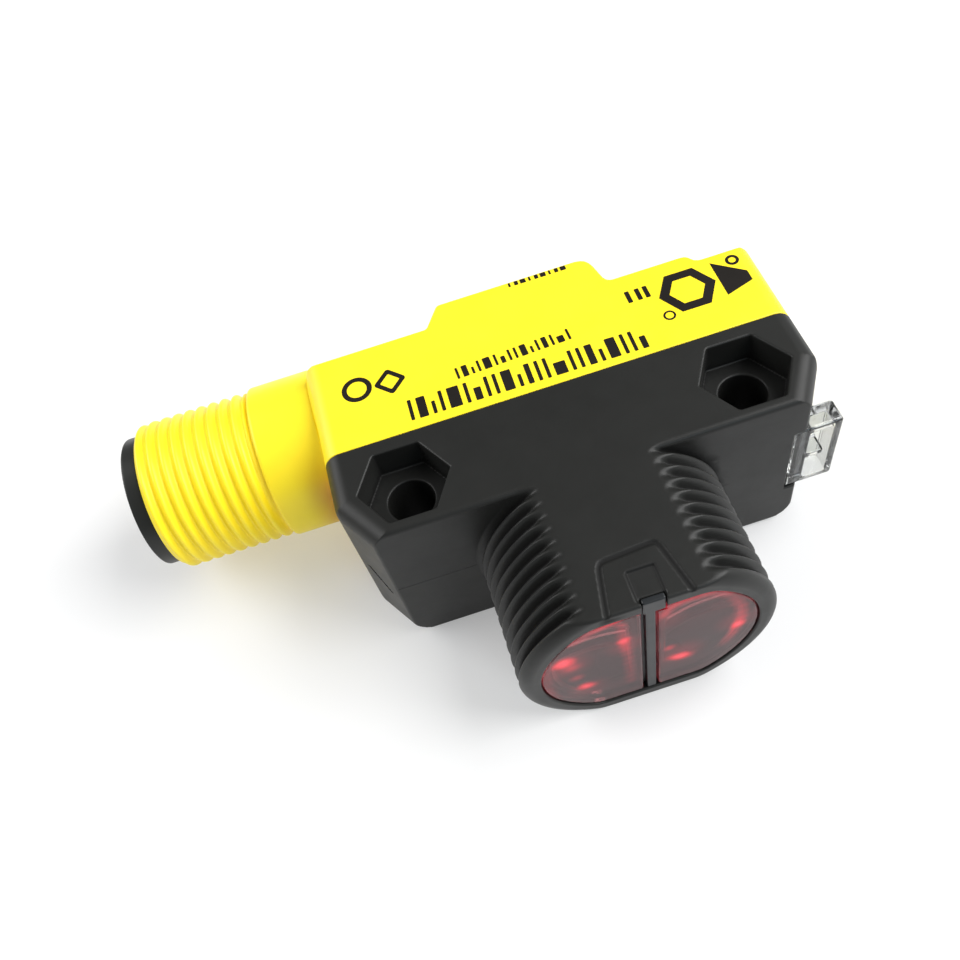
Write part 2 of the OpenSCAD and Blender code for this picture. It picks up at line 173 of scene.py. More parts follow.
def net(f, lo, hi, h):
    """Closed quad mesh of the surface f = 0 on a grid of step h."""
    B = 8
    lo = np.array(lo, float) - 1.5 * h
    cells = [int(math.ceil((b - a + 1.5 * h) / h / B)) * B for a, b in zip(lo, hi)]
    nx, ny, nz = [c + 1 for c in cells]
    F = np.empty((nx, ny, nz), np.float32)
    nb = [c // B + 1 for c in cells]
    bi = np.stack(np.meshgrid(*[np.arange(n) for n in nb], indexing="ij"), -1).reshape(-1, 3)
    mid = lo + (bi * B + (B - 1) / 2) * h
    m = mid.astype(np.float32)
    fm = f(m[:, 0], m[:, 1], m[:, 2])
    near = np.abs(fm) < B * h * 0.5 * 1.75 * 1.35 + h
    P = np.zeros((nb[0] * B, nb[1] * B, nb[2] * B), np.float32)
    V = P.reshape(nb[0], B, nb[1], B, nb[2], B).transpose(0, 2, 4, 1, 3, 5)
    V[...] = np.where(fm > 0, 1.0, -1.0).reshape(nb)[:, :, :, None, None, None]
    off = np.stack(np.meshgrid(*[np.arange(B)] * 3, indexing="ij"), -1).reshape(-1, 3)
    idx = bi[near]
    for s in range(0, len(idx), 600):
        part = idx[s : s + 600]
        p = (lo + (part[:, None, :] * B + off[None]) * h).astype(np.float32).reshape(-1, 3)
        val = f(p[:, 0], p[:, 1], p[:, 2]).reshape(-1, B, B, B)
        V[part[:, 0], part[:, 1], part[:, 2]] = val
    F = np.ascontiguousarray(P[:nx, :ny, :nz])
    F[F == 0] = 1e-7
    S = F < 0
    c8 = [(i, j, k) for i in (0, 1) for j in (0, 1) for k in (0, 1)]
    sl = lambda i, n: slice(i, n - 1 + i)
    any_, all_ = None, None
    for i, j, k in c8:
        q = S[sl(i, nx), sl(j, ny), sl(k, nz)]
        any_ = q.copy() if any_ is None else any_ | q
        all_ = q.copy() if all_ is None else all_ & q
    act = np.argwhere(any_ & ~all_)
    ids = np.full((nx - 1, ny - 1, nz - 1), -1, np.int32)
    ids[act[:, 0], act[:, 1], act[:, 2]] = np.arange(len(act))
    val = np.stack([F[act[:, 0] + i, act[:, 1] + j, act[:, 2] + k] for i, j, k in c8], 1)
    pos, cnt = np.zeros((len(act), 3)), np.zeros(len(act))
    for a in range(8):
        for b in range(a + 1, 8):
            ca, cb = np.array(c8[a]), np.array(c8[b])
            if abs(ca - cb).sum() != 1:
                continue
            va, vb = val[:, a], val[:, b]
            cross = (va < 0) != (vb < 0)
            t = np.where(cross, va / np.where(cross, va - vb, 1), 0)
            pos += np.where(cross[:, None], ca + t[:, None] * (cb - ca), 0)
            cnt += cross
    verts = lo + (act + pos / cnt[:, None]) * h
    quads = []
    for ax in range(3):
        o1, o2 = [a for a in range(3) if a != ax]
        n = [nx, ny, nz]
        s0, s1 = [slice(None)] * 3, [slice(None)] * 3
        s0[ax], s1[ax] = slice(0, n[ax] - 1), slice(1, n[ax])
        A, Bq = S[tuple(s0)], S[tuple(s1)]
        e = np.argwhere(A != Bq)
        e = e[(e[:, o1] > 0) & (e[:, o2] > 0) & (e[:, o1] < n[o1] - 1) & (e[:, o2] < n[o2] - 1)]
        inside = A[e[:, 0], e[:, 1], e[:, 2]]
        d1, d2 = np.zeros(3, int), np.zeros(3, int)
        d1[o1], d2[o2] = 1, 1
        q = [ids[tuple((e - s).T)] for s in (0 * d1, d1, d1 + d2, d2)]
        quad = np.stack(q, 1)
        turn = inside if ax != 1 else ~inside
        quad[~turn] = quad[~turn][:, ::-1]
        quads.append(quad)
    return verts, np.concatenate(quads)


def mesh_object(name, verts, faces):
    """A mesh object in the row frame from millimetre points."""
    me = bpy.data.meshes.new(name)
    faces = np.asarray(faces)
    k = faces.shape[1]
    me.vertices.add(len(verts))
    me.vertices.foreach_set("co", (np.asarray(verts, np.float64) * MM).astype(np.float32).ravel())
    me.loops.add(faces.size)
    me.loops.foreach_set("vertex_index", faces.astype(np.int32).ravel())
    me.polygons.add(len(faces))
    me.polygons.foreach_set("loop_start", np.arange(0, faces.size, k, dtype=np.int32))
    me.update(calc_edges=True)
    me.validate()
    o = bpy.data.objects.new(name, me)
    bpy.context.scene.collection.objects.link(o)
    return o


def shade(o, f=None, e=0.03):
    """Smooth shading, with the surface's own normals where its distance field is known."""
    me = o.data
    me.polygons.foreach_set("use_smooth", np.ones(len(me.polygons), bool))
    if f is not None:
        v = np.empty(len(me.vertices) * 3, np.float32)
        me.vertices.foreach_get("co", v)
        v = v.reshape(-1, 3).astype(np.float64) * 1000
        g = grad(f, v, e)
        g /= np.maximum(np.linalg.norm(g, axis=1, keepdims=True), 1e-9)
        me.normals_split_custom_set_from_vertices(g.astype(np.float32))
    me.update()


def hollows(o, f, h=0.4, lo=0.25, hi=0.8, extra=None):
    """Stores how open the space over each point is: 0 in a groove, 1 on an open face; this is the mask for painted
    shade.
    """
    me = o.data
    v = np.empty(len(me.vertices) * 3, np.float32)
    me.vertices.foreach_get("co", v)
    v = v.reshape(-1, 3).astype(np.float64) * 1000
    g = grad(f, v, 0.03)
    g /= np.maximum(np.linalg.norm(g, axis=1, keepdims=True), 1e-9)
    p = v + g * h
    val = np.clip((f(p[:, 0], p[:, 1], p[:, 2]) / h - lo) / (hi - lo), 0, 1)
    if extra is not None:
        val = val * extra(v[:, 0], v[:, 1], v[:, 2])
    at = me.attributes.new("open", "FLOAT", "POINT")
    at.data.foreach_set("value", val.astype(np.float32))


def paint_hollow_shade(m, low, rough):
    """Painted shade: hollows get a darker colour and a duller surface, from the stored openness."""
    nt = m.node_tree
    b = nt.nodes["Principled BSDF"]
    at = nt.nodes.new("ShaderNodeAttribute")
    at.attribute_name = "open"
    # painted shade: base colour and roughness are mixed towards the given values where the point is enclosed
    for socket, value in (("Base Color", low), ("Roughness", rough)):
        old = b.inputs[socket].links[0].from_socket
        mix = nt.nodes.new("ShaderNodeMix")
        mix.data_type = "RGBA" if socket == "Base Color" else "FLOAT"
        k = 6 if socket == "Base Color" else 2
        mix.inputs[k].default_value = (*value, 1) if socket == "Base Color" else value
        nt.links.new(at.outputs["Fac"], mix.inputs[0])
        nt.links.new(old, mix.inputs[k + 1])
        nt.links.new(mix.outputs[2 if socket == "Base Color" else 0], b.inputs[socket])


def carve(name, f, lo, hi, h, keep=1.0, reach=None):
    """Piece from a distance field: netted, thinned where it is flat, put back on the surface."""
    v, q = net(f, lo, hi, h)
    v = onto(f, v, 3, reach or h)
    o = mesh_object(name, v, q)
    if keep < 1:
        mod = o.modifiers.new("thin", "DECIMATE")
        mod.ratio = keep
        dg = bpy.context.evaluated_depsgraph_get()
        me = bpy.data.meshes.new_from_object(o.evaluated_get(dg))
        o.modifiers.clear()
        old = o.data
        o.data = me
        me.name = name
        bpy.data.meshes.remove(old)
        c = np.empty(len(me.vertices) * 3, np.float32)
        me.vertices.foreach_get("co", c)
        c = onto(f, c.reshape(-1, 3).astype(np.float64) * 1000, 2, h * 0.5)
        me.vertices.foreach_set("co", (c * MM).astype(np.float32).ravel())
    shade(o, f)
    print(name, "verts", len(o.data.vertices), "faces", len(o.data.polygons))
    return o


# ------------------------------------------------------------------ materials
def new_mat(name):
    m = bpy.data.materials.new(name)
    m.use_nodes = True
    nt = m.node_tree
    return m, nt, nt.nodes["Principled BSDF"]


def coords(nt):
    return nt.nodes.new("ShaderNodeTexCoord").outputs["Object"]


def noise(nt, vec, scale, detail=4.0, rough=0.55):
    n = nt.nodes.new("ShaderNodeTexNoise")
    n.inputs["Scale"].default_value = scale
    n.inputs["Detail"].default_value = detail
    n.inputs["Roughness"].default_value = rough
    nt.links.new(vec, n.inputs["Vector"])
    return n.outputs["Fac"]


def ramp(nt, fac, stops):
    r = nt.nodes.new("ShaderNodeValToRGB")
    els = r.color_ramp.elements
    els[0].position, els[0].color = stops[0][0], (*stops[0][1], 1)
    els[1].position, els[1].color = stops[-1][0], (*stops[-1][1], 1)
    for p, c in stops[1:-1]:
        e = els.new(p)
        e.color = (*c, 1)
    nt.links.new(fac, r.inputs["Fac"])
    return r.outputs["Color"]


def spread(nt, fac, a, b, lo=0.3, hi=0.7):
    r = nt.nodes.new("ShaderNodeMapRange")
    r.inputs["From Min"].default_value = lo
    r.inputs["From Max"].default_value = hi
    r.inputs["To Min"].default_value = a
    r.inputs["To Max"].default_value = b
    nt.links.new(fac, r.inputs["Value"])
    return r.outputs["Result"]


def bump(nt, b, height, strength, distance):
    n = nt.nodes.new("ShaderNodeBump")
    n.inputs["Strength"].default_value = strength
    n.inputs["Distance"].default_value = distance
    nt.links.new(height, n.inputs["Height"])
    nt.links.new(n.outputs["Normal"], b.inputs["Normal"])
    return n


def plastic(name, base, var=0.12, rough=(0.35, 0.5), grain=2600, grain_d=0.00001, spec=0.5, sss=0.0, tint=None):
    """Moulded plastic: faint cloudy colour change, uneven gloss and a fine surface grain."""
    m, nt, b = new_mat(name)
    v = coords(nt)
    cloud = noise(nt, v, 160, 5, 0.6)
    lo = [max(0, c * (1 - var)) for c in base]
    hi = [min(1, c * (1 + var)) for c in base]
    if tint:
        lo = tint
    nt.links.new(ramp(nt, cloud, [(0.32, lo), (0.68, hi)]), b.inputs["Base Color"])
    nt.links.new(spread(nt, noise(nt, v, 420, 6, 0.65), rough[0], rough[1]), b.inputs["Roughness"])
    bump(nt, b, noise(nt, v, grain, 3, 0.6), 0.35, grain_d)
    b.inputs["Specular IOR Level"].default_value = spec
    if sss:
        b.inputs["Subsurface Weight"].default_value = sss
        b.inputs["Subsurface Radius"].default_value = (0.0012, 0.0009, 0.0002)
        b.inputs["Subsurface Scale"].default_value = 1.0
    return m


def metal(name, base, rough=(0.2, 0.35), grain=900):
    m, nt, b = new_mat(name)
    v = coords(nt)
    n = noise(nt, v, 300, 5, 0.6)
    nt.links.new(ramp(nt, n, [(0.3, [c * 0.88 for c in base]), (0.7, base)]), b.inputs["Base Color"])
    nt.links.new(spread(nt, noise(nt, v, grain, 4, 0.6), rough[0], rough[1]), b.inputs["Roughness"])
    b.inputs["Metallic"].default_value = 1.0
    bump(nt, b, noise(nt, v, 2500, 2, 0.5), 0.2, 0.000004)
    return m


def clear(name, colour, rough, ior=1.49, var=0.06):
    m, nt, b = new_mat(name)
    v = coords(nt)
    n = noise(nt, v, 220, 4, 0.5)
    nt.links.new(ramp(nt, n, [(0.3, [c * (1 - var) for c in colour]), (0.7, colour)]), b.inputs["Base Color"])
    nt.links.new(spread(nt, noise(nt, v, 500, 4, 0.6), rough[0], rough[1]), b.inputs["Roughness"])
    b.inputs["Transmission Weight"].default_value = 1.0
    b.inputs["IOR"].default_value = ior
    bump(nt, b, noise(nt, v, 350, 2, 0.5), 0.08, 0.00001)
    return m


M_BLACK = plastic("black_plastic", (0.0126, 0.0129, 0.0119), 0.05, (0.38, 0.46), 2600, 0.000012, 0.27)
M_YELLOW = plastic("yellow_plastic", (1.0, 0.79, 0.020), 0.02, (0.34, 0.44), 2200, 0.000006, 0.4, 0.0, (0.985, 0.76, 0.017))
M_INSERT = plastic("black_insert", (0.014, 0.015, 0.014), 0.12, (0.34, 0.45), 2200, 0.000008, 0.3)
M_BARRIER = plastic("barrier_grey", (0.016, 0.018, 0.020), 0.12, (0.3, 0.4), 2400, 0.000006, 0.3)
M_CARRIER = plastic("carrier_black", (0.010, 0.010, 0.011), 0.15, (0.4, 0.55), 2400, 0.00001, 0.4)
M_PRINT = plastic("print_ink", (0.0085, 0.0065, 0.005), 0.2, (0.5, 0.65), 3200, 0.000004, 0.2)
M_PINS = metal("gold_contact", (0.95, 0.68, 0.25))
M_TIN = metal("tin_shield", (0.72, 0.73, 0.75), (0.28, 0.42))
M_BOARD = plastic("board_green", (0.010, 0.075, 0.028), 0.25, (0.25, 0.4), 1800, 0.00001, 0.5)
M_CHIP = plastic("chip_black", (0.014, 0.014, 0.015), 0.2, (0.45, 0.6), 3000, 0.00001, 0.4)
M_CAP = plastic("tantalum_ochre", (0.62, 0.30, 0.03), 0.12, (0.3, 0.45), 2000, 0.000008)
M_POT = plastic("potentiometer_blue", (0.02, 0.06, 0.32), 0.12, (0.3, 0.42), 2000, 0.000008)
M_POTTING = plastic("potting_resin", (0.02, 0.016, 0.012), 0.25, (0.12, 0.3), 700, 0.00002)
M_ADJ = plastic("adjuster_white", (0.80, 0.80, 0.74), 0.05, (0.3, 0.42), 2200, 0.000006)
M_RUBBER = plastic("seal_rubber", (0.012, 0.012, 0.012), 0.2, (0.5, 0.7), 1500, 0.00001, 0.3)

# painted glow: spots (x, z, radius, strength) lit as emission on both red windows
PAINTED_GLOW_SPOTS = [
    (-5.66, 10.18, 0.67, 0.75), (-6.15, 9.91, 0.52, 0.35), (-5.29, 9.02, 0.59, 0.25), (-5.1, 7.08, 0.44, 0.25), (-4.68, 5.22, 0.52, 0.6), (-4.2, 4.99, 0.44, 0.25),
    (-1.74, 10.62, 0.44, 0.5), (6.02, 7.35, 0.44, 0.55), (2.06, 5.05, 0.52, 0.75), (1.48, 5.34, 0.44, 0.3), (2.63, 4.76, 0.44, 0.3), (1.26, 7.09, 0.37, 0.35),
    (-1.84, 13.01, 0.37, 0.22), (-1.81, 12.27, 0.38, 0.235), (-1.77, 11.51, 0.39, 0.25), (-1.73, 10.73, 0.4, 0.265), (-1.69, 9.94, 0.41, 0.28), (-1.63, 9.18, 0.4, 0.247),
    (-1.56, 8.4, 0.38, 0.213), (-1.5, 7.6, 0.37, 0.18), (-1.49, 6.83, 0.37, 0.164), (-1.49, 6.04, 0.37, 0.148), (-1.48, 5.24, 0.37, 0.132), (-1.48, 4.41, 0.37, 0.116),
    (-1.47, 3.57, 0.37, 0.1), (-7.21, 9.25, 0.44, 0.14), (-7.19, 8.4, 0.44, 0.14), (-7.17, 7.53, 0.44, 0.14), (-7.15, 6.64, 0.44, 0.14), (-7.05, 5.85, 0.44, 0.127),
    (-6.94, 5.04, 0.44, 0.113), (-6.83, 4.21, 0.44, 0.1), (-5, 12.57, 0.37, 0.1), (-4.72, 12.76, 0.37, 0.106), (-4.46, 12.94, 0.37, 0.112), (-4.19, 13.13, 0.37, 0.118),
    (-3.92, 13.32, 0.37, 0.124), (-3.66, 13.5, 0.37, 0.13), (-3.4, 13.56, 0.37, 0.138), (-3.15, 13.61, 0.37, 0.147), (-2.89, 13.66, 0.37, 0.155), (-2.64, 13.71, 0.37, 0.163),
    (-2.38, 13.77, 0.37, 0.172), (-2.13, 13.82, 0.37, 0.18), (0.77, 12.38, 0.44, 0.16), (0.94, 12.74, 0.44, 0.16), (1.11, 13.1, 0.44, 0.16), (1.27, 13.45, 0.44, 0.16),
    (1.56, 13.53, 0.44, 0.15), (1.84, 13.61, 0.44, 0.14), (2.12, 13.68, 0.44, 0.13), (2.4, 13.76, 0.44, 0.12), (2.68, 13.72, 0.44, 0.117), (2.95, 13.69, 0.44, 0.113),
    (3.23, 13.66, 0.44, 0.11), (3.5, 13.62, 0.44, 0.107), (3.78, 13.59, 0.44, 0.103), (4.05, 13.55, 0.44, 0.1), (4.35, 13.27, 0.44, 0.11), (4.66, 12.99, 0.44, 0.12),
    (4.96, 12.7, 0.44, 0.13), (5.27, 12.41, 0.44, 0.14), (5.54, 11.65, 0.44, 0.173), (5.81, 10.88, 0.44, 0.207), (6.09, 10.08, 0.44, 0.24), (6.12, 9.23, 0.44, 0.25),
    (6.15, 8.36, 0.44, 0.26), (6.04, 7.71, 0.44, 0.24), (5.93, 7.04, 0.44, 0.22), (5.81, 6.36, 0.44, 0.2), (5.61, 5.85, 0.44, 0.16), (5.41, 5.33, 0.44, 0.12),
    (5.2, 4.81, 0.44, 0.08), (-5.6, 9.28, 1.48, 0.14), (-1.63, 9.89, 1.19, 0.12), (-4.51, 4.68, 1.33, 0.1), (5.9, 8.08, 1.33, 0.12), (2.11, 5.71, 1.48, 0.14),
    (1.16, 11.64, 1.19, 0.08),
]


def lens_with_painted_glow(name, colour, rough, ior=1.49):
    """Red window: dark tinted glass with painted light: glowing red spots set into it as emission."""
    m = clear(name, colour, rough, ior)
    nt = m.node_tree
    b = nt.nodes["Principled BSDF"]
    v = coords(nt)
    wob = nt.nodes.new("ShaderNodeTexNoise")
    wob.inputs["Scale"].default_value = 900
    wob.inputs["Detail"].default_value = 3
    nt.links.new(v, wob.inputs["Vector"])
    off = nt.nodes.new("ShaderNodeVectorMath")
    off.operation = "MULTIPLY_ADD"
    off.inputs[1].default_value = (0.0003, 0.0003, 0.0003)
    nt.links.new(wob.outputs["Color"], off.inputs[0])
    nt.links.new(v, off.inputs[2])
    total = None
    for cx, cz, rad, amount in PAINTED_GLOW_SPOTS:
        dist = nt.nodes.new("ShaderNodeVectorMath")
        dist.operation = "DISTANCE"
        dist.inputs[1].default_value = ((cx + 0.15) * MM, (TIP + 0.25) * MM, (cz + 0.15) * MM)
        nt.links.new(off.outputs["Vector"], dist.inputs[0])
        fall = nt.nodes.new("ShaderNodeMapRange")
        fall.interpolation_type = "SMOOTHSTEP"
        fall.inputs["From Min"].default_value = (rad * 1.4 + 0.15) * MM
        fall.inputs["From Max"].default_value = 0.0
        fall.inputs["To Min"].default_value = 0.0
        fall.inputs["To Max"].default_value = amount
        nt.links.new(dist.outputs["Value"], fall.inputs["Value"])
        if total is None:
            total = fall.outputs["Result"]
        else:
            add = nt.nodes.new("ShaderNodeMath")
            add.operation = "ADD"
            nt.links.new(total, add.inputs[0])
            nt.links.new(fall.outputs["Result"], add.inputs[1])
            total = add.outputs["Value"]
    # painted glow: emission colour runs from a faint dark red over the whole window to bright red at the spots
    nt.links.new(ramp(nt, total, [(0.0, (0.016, 0.004, 0.005)), (0.2, (0.16, 0.010, 0.016)), (0.55, (0.62, 0.016, 0.03)), (1.0, (1.0, 0.06, 0.09))]), b.inputs["Emission Color"])
    b.inputs["Emission Strength"].default_value = 1.0
    b.inputs["Specular IOR Level"].default_value = 0.15
    b.inputs["Specular Tint"].default_value = (0.32, 0.24, 0.24, 1)
    return m


M_LENS = lens_with_painted_glow("lens_red", (0.24, 0.07, 0.075), (0.04, 0.10), 1.38)
M_CLEAR = clear("window_clear", (0.82, 0.835, 0.825), (0.05, 0.12))
M_LEDR = clear("led_red_epoxy", (0.9, 0.10, 0.08), (0.05, 0.12))
M_LEDG = plastic("led_green_epoxy", (0.25, 0.6, 0.25), 0.1, (0.15, 0.25), 1500, 0.000005)
M_LEDY = plastic("led_yellow_epoxy", (0.75, 0.55, 0.12), 0.1, (0.15, 0.25), 1500, 0.000005)
WIRES = {
    "wire_brown": (0.12, 0.04, 0.015), "wire_white": (0.75, 0.75, 0.72),
    "wire_blue": (0.02, 0.08, 0.42), "wire_black": (0.012, 0.012, 0.012),
}


def dress(o, m, *slots):
    o.data.materials.clear()
    o.data.materials.append(m)


def piece(o, m, slot, *nodes, body=BODY):
    dress(o, m)
    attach(o, body)
    if nodes:
        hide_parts(*nodes)
    return o


# ------------------------------------------------------------------ front housing
HOLE_X = 12.05


def end_r(z):
    return 1.35 + 0.55 * smooth(-z, -9.0, -6.0)


PITCH = 0.985


PANEL = [(-2.76, TIP - 0.4), (-2.10, -10.80), (-2.0, -10.5), (-1.84, -10.32), (-1.6, -10.25), (1.35, -10.02),
         (1.6, -10.04), (1.8, -10.16), (1.94, -10.42), (2.78, TIP - 0.4)]


def thread_depth(along, angle, start, pitch, depth, sharp=1.15):
    t = (along - start) / pitch - angle / (2 * math.pi)
    return depth * (0.5 + 0.5 * np.cos(2 * math.pi * t)) ** sharp


def f_front(x, y, z):
    ax, az = np.abs(x), np.abs(z - MZ) - MZ
    # body: plan outline with chamfered corners
    cham = (ax - HX) * 0.8493 - (np.maximum(y, -4.6) + 0.4) * 0.5279
    end = rmax(ax - HX, cham, 0.3)
    plan = rmax(end, -y - FF, 0.14)
    # threaded nose
    rho = np.sqrt(x * x + (z - MZ) ** 2)
    ang = np.arctan2(z - MZ, x)
    d = thread_depth(-y, ang, 3.60, PITCH, 0.64, 1.0)
    d = d * (1 - smooth(-y, 12.9, 13.25)) * smooth(ax, 3.2, 4.9)
    nr = (rho - (NOSE_R - 0.02) + d) * 0.85
    tipd = TIP - y
    n = rmax(nr, tipd, 0.75)
    n = np.maximum(n, y - 1.0)
    u = rmin(plan, n, 0.22)
    # long edges: wide at the ends, narrow at the front face and where the thread runs out
    f = rmax(u, az, 0.40 - 0.2 * smooth(-y, 12.9, 13.5))
    f = np.maximum(f, rmax(end, az, end_r(z)))
    f = rmax(f, y - FY, 0.08)
    # lens pocket, optics bore and inner rooms
    win = rmax(rmax(rho - 7.47, np.abs(z - MZ) - 6.45, 0.25), y - (TIP + 1.5), 0.0)
    f = cut(f, win, 0.12)
    bar = np.maximum(np.maximum(rho - 6.85, np.abs(z - MZ) - 5.85), y + 1.0)
    f = cut(f, bar, 0.05)
    f = cut(f, rbox(x, y, z, (-8.5, -2.35, 2.05), (8.5, 6, 12.95), 0.3))
    f = cut(f, rbox(x, y, z, (-HX + 2.05, FY - 0.45, 2.05), (HX - 2.05, 6, 12.95), 0.2))
    # screw holes with hexagonal nut pockets
    dx, dy = np.abs(ax - HOLE_X), np.abs(y)
    hole = np.sqrt((ax - HOLE_X) ** 2 + y * y) - 1.65
    hexa = rmax(dy - 2.8, dx * 0.8660 + dy * 0.5 - 2.8, 0.12)
    hexa = rmax(hexa, (T - 2.5) - z, 0.08)
    f = cut(f, hexa, 0.16)
    f = cut(f, hole, 0.14)
    # key notch in the rim, and the shallow recess behind it
    f = cut(f, rbox(x, y, z, (-0.50, TIP - 1, MZ + 6), (1.10, TIP + 0.56, T + 1), 0.06), 0.05)
    f = cut(f, rbox(x, y, z, (-0.66, TIP + 0.3, T - 0.17), (1.16, TIP + 2.43, T + 1), 0.12), 0.14)
    # raised-panel groove round the key
    d = None
    for p, q in zip(PANEL, PANEL[1:]):
        e = seg_dist(x, y, p, q)
        d = e if d is None else np.minimum(d, e)
    f = cut(f, np.sqrt(d * d + ((z - T) * 1.2) ** 2) - 0.14, 0.13)
    # seat and channel of the indicator window
    f = cut(f, rbox(x, y, z, (14.3, -6, IND_Z0 - 0.05), (19, -1.6, IND_Z1 + 0.05), 0.1), 0.08)
    f = cut(f, rbox(x, y, z, (14.3, -3.2, IND_Z0 + 0.25), (15.4, 6, IND_Z1 - 0.25), 0.05))
    # moulding nick on the connector-side chamfer and the parting line of the front face
    nick = np.maximum(seg_dist(x + 16.1 + 0.0 * y, z, (-0.42, 8.2), (0.42, 5.9)) - 0.06, np.abs(cham) - 0.09)
    f = cut(f, np.where(x < 0, nick, 9.0).astype(np.float32), 0.02)
    line = np.sqrt((z - MZ - 0.1) ** 2 + (y + FF) ** 2) - 0.022
    f = cut(f, np.where(x < -9.2, line, 9.0).astype(np.float32))
    return f


front = carve("front_housing_shell", f_front, FH_LO, FH_HI, 0.11, 0.30)


def line_shade(x, y, z):
    """Painted shade: the panel groove and the edge of the recess get a darker colour."""
    d = None
    for p, q in zip(PANEL, PANEL[1:]):
        e = seg_dist(x, y, p, q)
        d = e if d is None else np.minimum(d, e)
    rec = np.abs(rbox(x, y, 0 * z, (-0.66, TIP + 0.3, -1), (1.16, TIP + 2.43, 1), 0.12))
    rec = np.where(y < TIP + 0.6, 9.0, rec)
    near = np.minimum(smooth(d, 0.04, 0.26), 0.35 + 0.65 * smooth(rec, 0.05, 0.25))
    return np.where(z > T - 0.6, near, 1.0)


# painted shade: the black turns darker and duller in grooves, pockets and along the panel groove
hollows(front, f_front, extra=line_shade)
paint_hollow_shade(M_BLACK, (0.0035, 0.0035, 0.0032), 0.75)
piece(front, M_BLACK, "housing_black", "front_housing")

# ------------------------------------------------------------------ rear housing
RL, RHUMP, RM, RR = FY + 8.77, FY + 10.77, FY + 7.87, FY + 7.07
OUT = ([(-HX, FY - 2), (HX, FY - 2)] + arc_pts(HX - 0.7, RR - 0.7, 0.7, 0, 90)
       + [(13.45, RR), (13.2, RR + 0.04), (12.95, RR + 0.16), (12.65, RM - 0.2), (12.4, RM - 0.05), (12.1, RM), (6.85, RM), (6.6, RM + 0.06), (6.42, RM + 0.22), (6.28, RM + 0.5), (5.98, RHUMP - 1.0),
          (5.84, RHUMP - 0.62), (5.62, RHUMP - 0.3), (5.3, RHUMP - 0.1), (4.8, RHUMP), (-5.95, RHUMP), (-6.14, RHUMP - 0.04), (-6.30, RHUMP - 0.18), (-7.36, RL + 0.16), (-7.5, RL + 0.03),
          (-7.68, RL)] + arc_pts(-HX + 0.5, RL - 0.5, 0.5, 90, 180))
ADJ_LO, ADJ_HI = node_box("gain_adjuster")
ADJ_X = (ADJ_LO[0] + ADJ_HI[0]) / 2


def f_rear(x, y, z):
    p = poly_sdf(x, y, OUT)
    az = np.abs(z - YT / 2) - YT / 2
    f = np.maximum(rmax(p, az, 0.28), rmax(np.abs(x) - HX, az, end_r(z)))
    # rounded boss that takes the connector
    r = np.sqrt((y - CY) ** 2 + (z - MZ) ** 2)
    boss = rmax(r - COLLAR_R, np.maximum(x + 9.2, -x - HX), 0.0)
    ball = np.sqrt((x + 9.2) ** 2 + r * r) - COLLAR_R
    boss = np.minimum(rmax(r - COLLAR_R, -x - HX, 0.25) + np.where(x > -9.2, 50.0, 0.0).astype(np.float32), ball)
    boss = np.maximum(boss, -x - HX)
    f = rmin(f, boss, 0.6)
    f = rmax(f, FY - y, 0.10)
    # rooms inside
    w = 1.3
    for a, b, top in ((-HX + w, -5.6, RL), (-5.8, 4.6, RHUMP), (4.4, 12.2, RM), (12, HX - w, RR)):
        f = np.maximum(f, -rbox(x, y, z, (a, 0, w), (b, top - w, T - w), 0.2))
    inn = np.minimum(np.maximum(r - 4.8, np.maximum(x + 9.2, -x - HX - 2)), np.sqrt((x + 9.2) ** 2 + r * r) - 4.8)
    f = np.maximum(f, -inn)
    f = np.maximum(f, -np.maximum(r - 5.32, x + HX - 3.9))
    # adjuster seat: counterbore, shaft bore and a shallow dish round it
    a = np.sqrt((x - ADJ_X) ** 2 + (z - MZ) ** 2)
    f = cut(f, np.maximum(a - 2.18, (RHUMP - 1.2) - y), 0.18)
    f = np.maximum(f, -(a - 1.25))
    # travel arc with its two stops, pressed into the rear face
    ang = np.arctan2(x - ADJ_X, -(z - MZ))          # 0 points to the bottom
    arcd = np.where(np.abs(ang) > math.radians(45), np.abs(a - 3.35), 9.0).astype(np.float32)
    f = cut(f, np.sqrt(arcd ** 2 + (y - RHUMP) ** 2) - 0.16, 0.04)
    for s in (-1, 1):
        cx, cz = ADJ_X + s * 3.35 * math.sin(math.radians(45)), MZ - 3.35 * math.cos(math.radians(45))
        f = cut(f, np.sqrt((x - cx) ** 2 + (z - cz) ** 2 + (y - RHUMP) ** 2) - 0.34, 0.05)
    return f


rear = carve("rear_housing_shell", f_rear, RH_LO, RH_HI, 0.12, 0.22)
# painted shade: the yellow turns deeper orange and duller where the surface is enclosed
hollows(rear, f_rear, 1.0, 0.2, 0.8)
paint_hollow_shade(M_YELLOW, (0.80, 0.44, 0.010), 0.5)
piece(rear, M_YELLOW, "housing_yellow", "rear_housing")

# ------------------------------------------------------------------ connector
X0 = -HX - 5.0                     # front of the collar
X2 = CI_LO[0] + 1.2                # end of the threaded shell
BASE = X2 + 6.2


